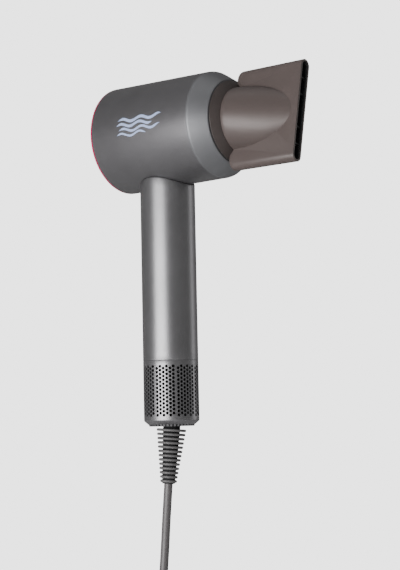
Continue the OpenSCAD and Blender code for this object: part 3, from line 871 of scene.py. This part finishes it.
def make_nozzle():
    """The concentrator: duct and bulge that run into the flat blade, hollow, with an open slot."""
    body = loose("concentrator", blade_mesh("concentrator", 0, SLOT_X))
    cut(body, loose("bulge", bulge_mesh("bulge", 0, 68.3)), "UNION")
    clear = [(0, 58), (31.3, 58), (31.3, 62.8), (DUCT_R + 0.5, 68.3), (0, 68.3)]
    cut(body, loose("clear", centred(revolved("clear", clear, "x", 160))))
    spigot = [(0, 61.5), (22, 61.5), (22, 62.5), (20.94, 62.5), (20.94, 70), (0, 70)]
    cut(body, loose("spigot", centred(revolved("spigot", spigot, "x", 128))), "UNION")
    inner = loose("inner", blade_mesh("inner", NOZZLE_WALL, SLOT_X + 4))
    cut(inner, loose("bulge", bulge_mesh("bulge", NOZZLE_WALL, 69.8)), "UNION")
    way = [(0, 58), (19.5, 58), (19.5, 74), (0, 74)]
    cut(inner, loose("way", centred(revolved("way", way, "x", 96))), "UNION")
    cut(body, inner)
    soften = body.modifiers.new("soften", "BEVEL")
    soften.width, soften.segments = 0.35 * MM, 3
    soften.limit_method, soften.angle_limit = "ANGLE", math.radians(50)
    soften.harden_normals = False
    apply_modifiers(body)
    turn = Matrix.Translation((0, 0, HEAD_Z * MM)) @ Matrix.Rotation(math.radians(-NOZZLE_TURN), 4, "X")
    mesh = body.data.copy()
    bpy.data.objects.remove(body)
    # Faces on the wall of the air way take near black: painted shade inside the nozzle, whose real inside is
    # taupe.
    inside = [is_inside_nozzle(face.center / MM, face.normal) for face in mesh.polygons]
    mesh.transform(turn)
    obj = add_piece("concentrator", mesh, TAUPE, "nozzle", "nozzle_taupe", 20)
    obj.data.materials.append(BLACK_AND_PAINTED_SHADE)
    obj.data.polygons.foreach_set("material_index", [int(v) for v in inside])
    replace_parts(obj, "nozzle_shell")

    # The collar takes the darker copy of the taupe, as painted shade.
    collar = revolved("collar", rounded([
        (21, 63), (24.2, 63), (24.2, 60.4), (26.9, 60.4), (26.9, 63), (30, 63, 0.35), (DUCT_R, 68, 0.3),
        (21, 68)]), "x", 192)
    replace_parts(add_piece("collar", collar, COLLAR_PAINTED_SHADE, "nozzle_seat", "nozzle_taupe"), "nozzle_collar")


# ---- Controls ----


def icon(name, strokes, x, z, material, body):
    """Raised line symbols on the control side. A stroke is a list of (across, up) points."""
    verts, faces = [], []
    for stroke in strokes:
        closed = stroke[0] == stroke[-1]
        pts = stroke[:-1] if closed else stroke
        base, n = len(verts), len(pts)
        for i, (y, up) in enumerate(pts):
            before = pts[i - 1] if closed or i > 0 else pts[i]
            after = pts[(i + 1) % n] if closed or i < n - 1 else pts[i]
            d = Vector((after[0] - before[0], after[1] - before[1])).normalized()
            nx, nz = -d.y * 0.16, d.x * 0.16
            for side in (-1, 1):
                for depth in (0, 0.06):
                    verts.append((x - depth, y + side * nx, z + up + side * nz))
        for i in range(n if closed else n - 1):
            j = (i + 1) % n
            for a, b in ((0, 1), (1, 3), (3, 2), (2, 0)):
                faces.append((base + i * 4 + a, base + i * 4 + b, base + j * 4 + b, base + j * 4 + a))
        if not closed:
            faces += [(base, base + 1, base + 3, base + 2)]
            last = base + (n - 1) * 4
            faces += [(last, last + 1, last + 3, last + 2)]
    return add_piece(name, mesh_of(name, verts, faces), material, body, "lens_white")


def arc(radius, start, end, steps=20):
    """Points of an arc, angles in degrees."""
    turns = [math.radians(start + (end - start) * i / steps) for i in range(steps + 1)]
    return [(radius * math.cos(a), radius * math.sin(a)) for a in turns]


def make_controls():
    """Buttons with dished faces and symbols, the slider with grip ridges, and the power symbol."""
    for node, body, material, slot in (("cool_button", "cool", BLUE, "button_blue"),
                                       ("speed_button", "speed", PALE, "button_grey"),
                                       ("heat_button", "heat", PALE, "button_grey")):
        low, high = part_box(node)
        z = (low.z + high.z) / 2 / MM
        face, back = low.x / MM, high.x / MM
        outline = rounded([(0, face + 0.12), (2.3, face + 0.06, 1.0), (3.2, face, 0.35), (3.2, face + 3),
                           (4.0, face + 3), (4.0, face + 4), (1.2, face + 4), (1.2, back), (0, back)])
        mesh = revolved(node, outline, "x", 64)
        mesh.transform(Matrix.Translation((0, 0, (z - HEAD_Z) * MM)))
        cap = add_piece(node + "_cap", mesh, material, body, slot)
        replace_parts(cap, node)
        if node == "cool_button":
            strokes = [[(1.7 * math.cos(a), 1.7 * math.sin(a)), (-1.7 * math.cos(a), -1.7 * math.sin(a))]
                       for a in (math.pi / 2, math.pi / 6, -math.pi / 6)]
        elif node == "speed_button":
            strokes = [[(-1.7, h), (-0.6, h + 0.35), (0.6, h - 0.35), (1.7, h)] for h in (-0.9, 0, 0.9)]
        else:
            strokes = [[(w, -1.4), (w + 0.35, -0.5), (w - 0.35, 0.4), (w, 1.4)] for w in (-1.0, 0, 1.0)]
        icon(node + "_symbol", strokes, face + 0.10, z, LENS if node == "cool_button" else TRIM, body)

    low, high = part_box("power_slider")
    z0 = (low.z + high.z) / 2 / MM
    verts, faces = [], []
    steps, half = 36, 4.4
    for i in range(steps + 1):
        up = -half + 2 * half * i / steps
        ridge = 0.28 * (0.5 + 0.5 * math.cos(up * 2 * math.pi / 1.25)) if abs(up) < 3.4 else 0
        edge = 0.5 * max(0.0, (abs(up) - 3.9) / 0.5)
        for k in range(9):
            y = -2.4 + 4.8 * k / 8
            r = HANDLE_R - 0.42 - 0.3 + ridge - edge - (0.25 if k in (0, 8) else 0)
            verts.append((-math.sqrt(r * r - y * y), y, z0 + up))
        verts += [(-16.6, 2.4, z0 + up), (-16.6, -2.4, z0 + up)]
    n = 11
    for i in range(steps):
        for k in range(n):
            m = (k + 1) % n
            faces.append((i * n + k, i * n + m, (i + 1) * n + m, (i + 1) * n + k))
    faces += [tuple(range(n)), tuple(range(steps * n, (steps + 1) * n))]
    add_piece("slider_grip", mesh_of("slider_grip", verts, faces), RED, "slider", "slider_red", 30)

    icon("power_symbol", [arc(1.3, 120, 420), [(0, 0.4), (0, 1.8)]], -19.78, z0 + 14.2, LENS, "dryer")


make_head()
make_mark()
make_handle()
make_cage()
make_relief()
make_nozzle()
make_controls()

# ---- Floor, light and world ----

FLOOR_R = 1250
ROOM_STRENGTH, WHITE_STRENGTH = 0.24, 3.0


def make_floor():
    """A plain pale floor, well below the hanging cord."""
    z = cad_low.z / MM - 4
    verts = [(0, 0, z)]
    turns = [2 * math.pi * k / 96 for k in range(96)]
    verts += [(FLOOR_R * math.cos(a), FLOOR_R * math.sin(a), z) for a in turns]
    faces = [(0, k + 1, (k + 1) % 96 + 1) for k in range(96)]
    mesh = mesh_of("floor", verts, faces)
    mesh.materials.append(surface("floor_pale", (0.86, 0.86, 0.86), 0.7, tone=0.01, grain=0.0))
    obj = bpy.data.objects.new("floor", mesh)
    bpy.context.scene.collection.objects.link(obj)


def soft_box(name, azimuth, elevation, distance, size_x, size_y, power):
    """An area light that faces the middle of the dryer."""
    a, e = math.radians(azimuth), math.radians(elevation)
    back = Vector((math.sin(a) * math.cos(e), -math.cos(a) * math.cos(e), math.sin(e)))
    data = bpy.data.lights.new(name, "AREA")
    data.shape = "RECTANGLE"
    data.size, data.size_y = size_x, size_y
    data.energy = power
    obj = bpy.data.objects.new(name, data)
    bpy.context.scene.collection.objects.link(obj)
    obj.location = back * distance + Vector((0, 0, 0.05))
    obj.rotation_euler = (-back).to_track_quat("-Z", "Y").to_euler()


def make_world():
    """White behind the dryer, and a dim even room for what it reflects."""
    world = bpy.data.worlds.new("studio")
    world.use_nodes = True
    bpy.context.scene.world = world
    nodes, links = world.node_tree.nodes, world.node_tree.links
    nodes.clear()
    out = nodes.new("ShaderNodeOutputWorld")
    mix = nodes.new("ShaderNodeMixShader")
    seen = nodes.new("ShaderNodeLightPath")
    room, white = nodes.new("ShaderNodeBackground"), nodes.new("ShaderNodeBackground")
    room.inputs["Color"].default_value = (1, 0.99, 0.99, 1)
    room.inputs["Strength"].default_value = ROOM_STRENGTH
    white.inputs["Color"].default_value = (1, 1, 1, 1)
    white.inputs["Strength"].default_value = WHITE_STRENGTH
    links.new(seen.outputs["Is Camera Ray"], mix.inputs["Fac"])
    links.new(room.outputs["Background"], mix.inputs[1])
    links.new(white.outputs["Background"], mix.inputs[2])
    links.new(mix.outputs["Shader"], out.inputs["Surface"])


make_floor()
make_world()
soft_box("key_low_left", 2, -18, 1.2, 0.95, 1.2, 36)
soft_box("back_right", 150, 0, 1.4, 0.4, 0.9, 1.6)
soft_box("ceiling", 40, 85, 1.6, 1.2, 1.2, 2.5)
